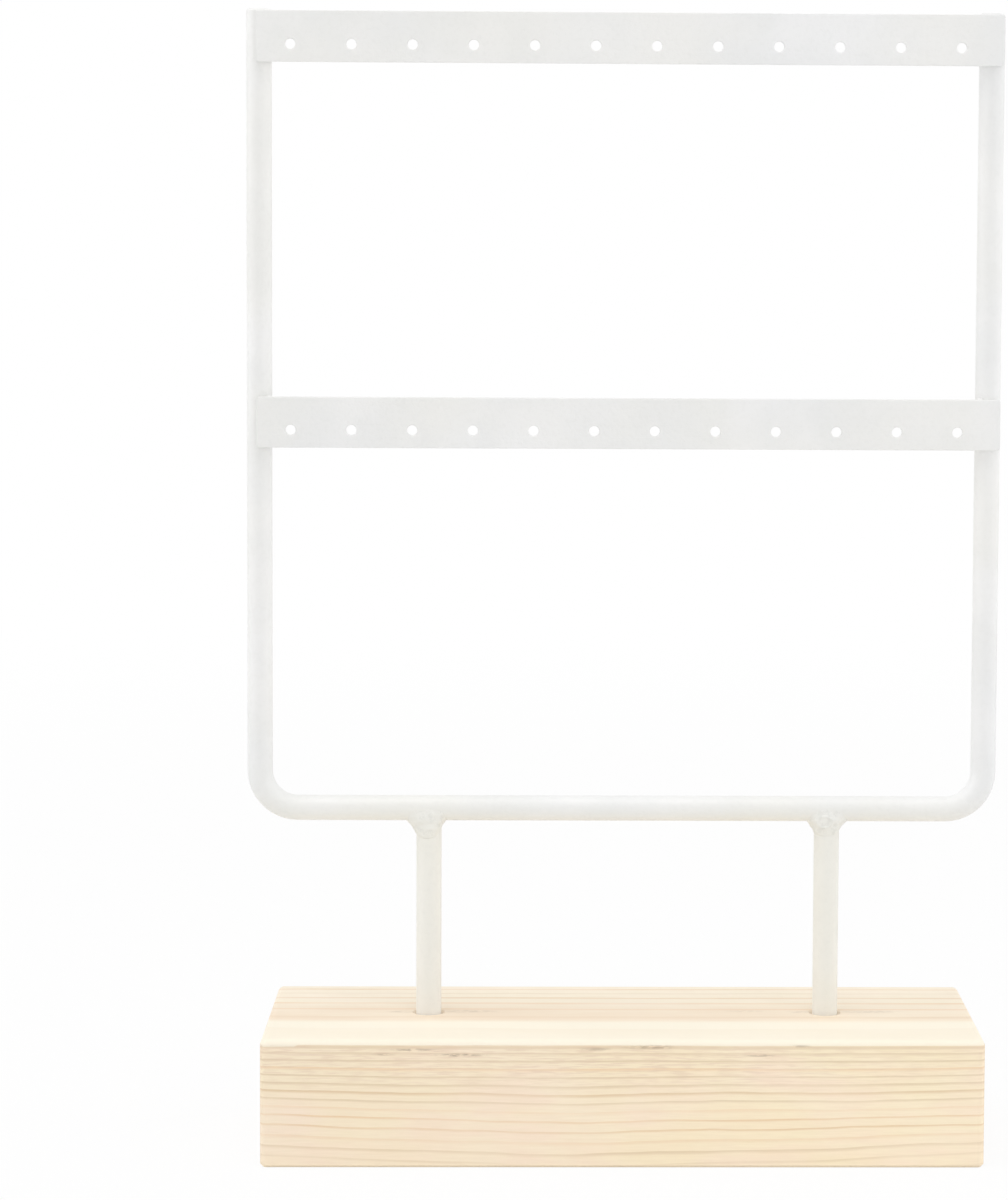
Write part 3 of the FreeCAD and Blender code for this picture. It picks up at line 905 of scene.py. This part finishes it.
# How strongly the late wood shows, by the ring's luck and along the ring.
LATE_STRENGTH = (0.28, 0.85)
LATE_ALONG = (0.55, 1.0)
ALONG_STRETCH = (0.35, 1.0, 1.0)
ALONG_FINENESS = 0.08
FIBRE_STRETCH = (0.05, 1.0, 1.0)
FIBRE_FINENESS = 2.4

late_begins = spread(tree, ring_width, *LATE_BEGINS)
along_ring = use_group(
    tree, patches_group, scaled(tree, place, ALONG_STRETCH), ALONG_FINENESS
)
late = product(
    tree,
    fade(tree, season, late_begins, LATE_FULL),
    fade(tree, season, *LATE_ENDS),
    spread(tree, ring_strength, *LATE_STRENGTH),
    spread(tree, along_ring, *LATE_ALONG),
)
fibres = use_group(tree, relief_group, scaled(tree, place, FIBRE_STRETCH), FIBRE_FINENESS)
fibre_share = fade(tree, fibres, CLOUD_LOW, CLOUD_HIGH)
print(f"the fibres are drawn out {1 / FIBRE_STRETCH[0]:.0f} times")

# %% Colours of the wood
PINE = srgb(254, 239, 213)
PINE_PINK = srgb(254, 233, 211)
PINE_YELLOW = srgb(253, 239, 204)
PINE_SHADED = srgb(232, 215, 203)
PINE_TOP_LIT = srgb(253, 243, 225)
LATE_GREY = srgb(218, 195, 162)
LATE_ORANGE = srgb(238, 201, 159)
PINK_STRETCH = (0.3, 1.0, 1.0)
PINK_FINENESS = 0.2
PINK_SHARE = 0.8
YELLOW_STRETCH = (0.5, 1.3, 1.3)
YELLOW_FINENESS = 0.06
YELLOW_SHARE = 0.6
LEFT_SHADE_SHARE = 0.2
TOP_LIGHT_BEGINS = (124.5, 126.5)
TOP_LIGHT_SHARE = 0.75
ORANGE_LUCK = (0.35, 0.75)
FIBRE_DARKENING = 0.1

pink = use_group(tree, patches_group, scaled(tree, place, PINK_STRETCH), PINK_FINENESS)
yellow = use_group(tree, patches_group, scaled(tree, place, YELLOW_STRETCH), YELLOW_FINENESS)
# The board is painted a shade greyer towards its left end, as painted shade for light from the
# right.
painted_left_shade = fade(tree, across, BLOCK_HALF_WIDTH, -BLOCK_HALF_WIDTH)
early_colour = tinted(tree, PINE, PINE_PINK, pink, PINK_SHARE)
early_colour = tinted(tree, early_colour, PINE_YELLOW, yellow, YELLOW_SHARE)
early_colour = tinted(tree, early_colour, PINE_SHADED, painted_left_shade, LEFT_SHADE_SHARE)
# The outer rings, which meet the top face, are painted paler as painted light on the top.
painted_top_light = fade(tree, from_pith, *TOP_LIGHT_BEGINS)
early_colour = tinted(tree, early_colour, PINE_TOP_LIT, painted_top_light, TOP_LIGHT_SHARE)
late_colour = tinted(tree, LATE_GREY, LATE_ORANGE, fade(tree, ring_tint, *ORANGE_LUCK))
colour = tinted(tree, early_colour, late_colour, late)
colour = tinted(tree, colour, LATE_GREY, fibre_share, FIBRE_DARKENING)
print(f"pine so far: {len(tree.nodes)} nodes")

# %% Ends and foot of the block
END_GRAIN = srgb(232, 206, 170)
# How far inside the block's half width its end face begins and is full.
END_FACE_DEPTHS = (0.25, 0.05)
PORE_FINENESS = 5.5
PORE_NOISE = (0.4, 0.62)
PORE_SHARES = (0.25, 0.6)
PAINTED_FOOT_LIGHT_LEVELS = (0.9, 0.5)
FOOT_LIGHT_SHARE = 0.8

end_begins, end_full = (BLOCK_HALF_WIDTH - inside for inside in END_FACE_DEPTHS)
end_face = fade(tree, calc(tree, "ABSOLUTE", across), end_begins, end_full)
# The saw leaves the ends of the fibres open, so they look darker and show as fine dots.
pores = fade(tree, clouds(tree, place, PORE_FINENESS, detail=2.0), *PORE_NOISE)
colour = tinted(tree, colour, END_GRAIN, spread(tree, pores, *PORE_SHARES), end_face)
# The block's lowest edge is painted paler, as painted light that lifts the shade on its underside
# bevel.
colour = tinted(tree, colour, PINE, fade(tree, level, *PAINTED_FOOT_LIGHT_LEVELS), FOOT_LIGHT_SHARE)
print(f"pine so far: {len(tree.nodes)} nodes")

# %% [markdown]
# Marks that belong to this block
#
# Three things in the photograph belong to this block alone. One wide year met the top face at a
# low angle: it is the pale strip along the front, painted paler still as painted sheen on the
# grazing top, with a brown band behind it. The planer tore the fibres a little just under the
# front edge, which left a mottled zone. And a few short grey streaks of resin lie there and beside
# the two posts. Each could be painted on, but paint stops at an edge. Here each is a mask made
# from the same places and distances as the rings, so it runs on into the wood.

# %% Bands
PINE_PALE_AND_SHEEN = srgb(251, 244, 227)
BROWN_BAND = srgb(242, 222, 198)
# Distances from the pith, each where a fade begins and where it ends.
EDGE_RING = 123.5
EDGE_RING_HALF_WIDTH = 0.5
EDGE_RING_SHARE = 0.45
PALE_YEAR_BEGINS = (123.8, 124.1)
PALE_YEAR_ENDS = (125.95, 126.45)
BROWN_BAND_ENDS = (129.8, 128.2)
# Places across the block and depths in it, given in the same way.
DIP_PLACES = (-62.4, -63.6)
DIP = 0.42
RIGHT_END_PLACES = (10.0, 60.0)
PALE_YEAR_DEPTHS = (3.0, -7.0)
BROWN_BAND_DEPTHS = (17.0, 7.0)
# Shares away from the block's end faces or right end, and on them.
PALE_YEAR_SHARES = (0.82, 0.35)
BROWN_BAND_SHARES = (1.0, 0.6)
BROWN_BAND_ALONG = (0.4, 0.75)


def bell(tree, value, middle, half_width):
    """1 at the middle, falling softly to 0 half a width away on both sides."""
    away = calc(tree, "ABSOLUTE", calc(tree, "SUBTRACT", value, middle))
    return fade(tree, away, half_width, 0.0)


right_end = fade(tree, across, *RIGHT_END_PLACES)
# At its left end the pale year dips a little further over the front edge.
dip = product(tree, fade(tree, across, *DIP_PLACES), DIP)
# The pale year grew on one side of the tree: further round it fades to nothing.
pale_year_and_sheen = product(
    tree,
    fade(tree, calc(tree, "ADD", from_pith, dip), *PALE_YEAR_BEGINS),
    fade(tree, from_pith, *reversed(PALE_YEAR_ENDS)),
    fade(tree, depth, *PALE_YEAR_DEPTHS),
    spread(tree, end_face, *PALE_YEAR_SHARES),
)
brown_band = product(
    tree,
    fade(tree, from_pith, *PALE_YEAR_ENDS),
    fade(tree, from_pith, *BROWN_BAND_ENDS),
    spread(tree, along_ring, *BROWN_BAND_ALONG),
    spread(tree, right_end, *BROWN_BAND_SHARES),
    fade(tree, depth, *BROWN_BAND_DEPTHS),
)
edge_ring = bell(tree, from_pith, EDGE_RING, EDGE_RING_HALF_WIDTH)
colour = tinted(tree, colour, BROWN_BAND, brown_band)
colour = tinted(tree, colour, LATE_GREY, edge_ring, EDGE_RING_SHARE)
# The pale year is painted whiter than its wood, as painted sheen on the grazing top.
colour = tinted(tree, colour, PINE_PALE_AND_SHEEN, pale_year_and_sheen)
print(f"the pale year is {PALE_YEAR_ENDS[0] - PALE_YEAR_BEGINS[1]:.2f} mm wide")

# %% Torn fibres
TORN_TINT = srgb(228, 203, 180)
TORN_FINENESS = (0.22, 1.6, 2.6)
TORN_NOISE = (0.42, 0.66)
TORN_LEVELS = (13.0, 20.0)
TORN_SHARE = 0.5
# Shares away from the block's end faces and right end, and on them; weaker at the right as painted
# light from the right.
TORN_AT_ENDS = (1.0, 0.3)
TORN_LIT_AT_RIGHT = (1.0, 0.45)

torn = clouds(tree, scaled(tree, place, TORN_FINENESS), 1.0, detail=4.0)
torn = product(
    tree,
    fade(tree, torn, *TORN_NOISE),
    fade(tree, level, *TORN_LEVELS),
    fade(tree, from_pith, *reversed(PALE_YEAR_BEGINS)),
    spread(tree, end_face, *TORN_AT_ENDS),
    spread(tree, right_end, *TORN_LIT_AT_RIGHT),
)
colour = tinted(tree, colour, TORN_TINT, torn, TORN_SHARE)
print(f"torn fibres show from {TORN_LEVELS[0]:.0f} mm up")

# %% Streaks
STREAK = srgb(150, 128, 108)
# Each streak: its middle, its half lengths and how dark it is.
STREAKS = (
    ((-40.6, -25.0, 23.1), (7.5, 2.0, 0.42), 0.6),
    ((-46.2, -25.0, 22.2), (3.0, 2.0, 0.4), 0.35),
    ((-31.4, -25.0, 22.1), (6.6, 2.0, 0.5), 0.75),
    ((-5.2, -25.0, 23.3), (4.6, 2.0, 0.5), 0.45),
    ((5.1, -25.0, 23.7), (6.6, 2.0, 0.6), 0.6),
    ((26.2, -25.0, 22.1), (4.0, 2.0, 0.4), 0.65),
    ((34.1, -25.0, 23.9), (3.0, 2.0, 0.4), 0.4),
    ((-30.5, 0.6, 25.0), (8.5, 1.9, 2.0), 0.24),
    ((-43.6, 0.2, 25.0), (4.0, 1.5, 2.0), 0.25),
    ((50.0, 0.6, 25.0), (8.5, 1.8, 2.0), 0.22),
    ((36.4, 0.2, 25.0), (4.0, 1.3, 2.0), 0.25),
    ((25.0, 1.0, 25.0), (6.0, 1.4, 2.0), 0.15),
)
RAGGED_FINENESS = (0.7, 1.3, 4.2)
RAGGED_NOISE = (0.38, 0.56)

streaks = 0.0
for middle, half_lengths, darkness in STREAKS:
    streak = darkness
    for coordinate, centre, half_length in zip((across, depth, level), middle, half_lengths):
        streak = product(tree, streak, bell(tree, coordinate, centre, half_length))
    streaks = calc(tree, "MAXIMUM", streaks, streak)
ragged = clouds(tree, scaled(tree, place, RAGGED_FINENESS), 1.0, detail=5.0)
colour = tinted(tree, colour, STREAK, streaks, fade(tree, ragged, *RAGGED_NOISE))
print(f"{len(STREAKS)} streaks")

# %% [markdown]
# The surface of the pine
#
# Sanding wears the soft early wood more than the hard late wood, so the late lines stand a few
# hundredths of a millimetre proud, with the fibres as fine ridges beside them. Modelled, they
# would cost millions of faces. As a bump made from the same masks, they meet the colour exactly.

# %% Surface of the pine
PINE_ROUGHNESS = (0.56, 0.7)
PINE_SPECULAR = 0.35
PINE_RELIEF = 0.08 * MM
LATE_RELIEF_SHARE = 0.4

feed(tree, shader.inputs["Base Color"], colour)
feed(tree, shader.inputs["Roughness"], spread(tree, fibre_share, *PINE_ROUGHNESS))
shader.inputs["Specular IOR Level"].default_value = PINE_SPECULAR
fibre_relief = product(tree, fibres, 1 - LATE_RELIEF_SHARE)
relief = calc(tree, "MULTIPLY_ADD", late, LATE_RELIEF_SHARE, fibre_relief)
add_bump(tree, shader, relief, PINE_RELIEF)
give(nodes["wood_base"], pine)
print(f"pine: {len(tree.nodes)} nodes")
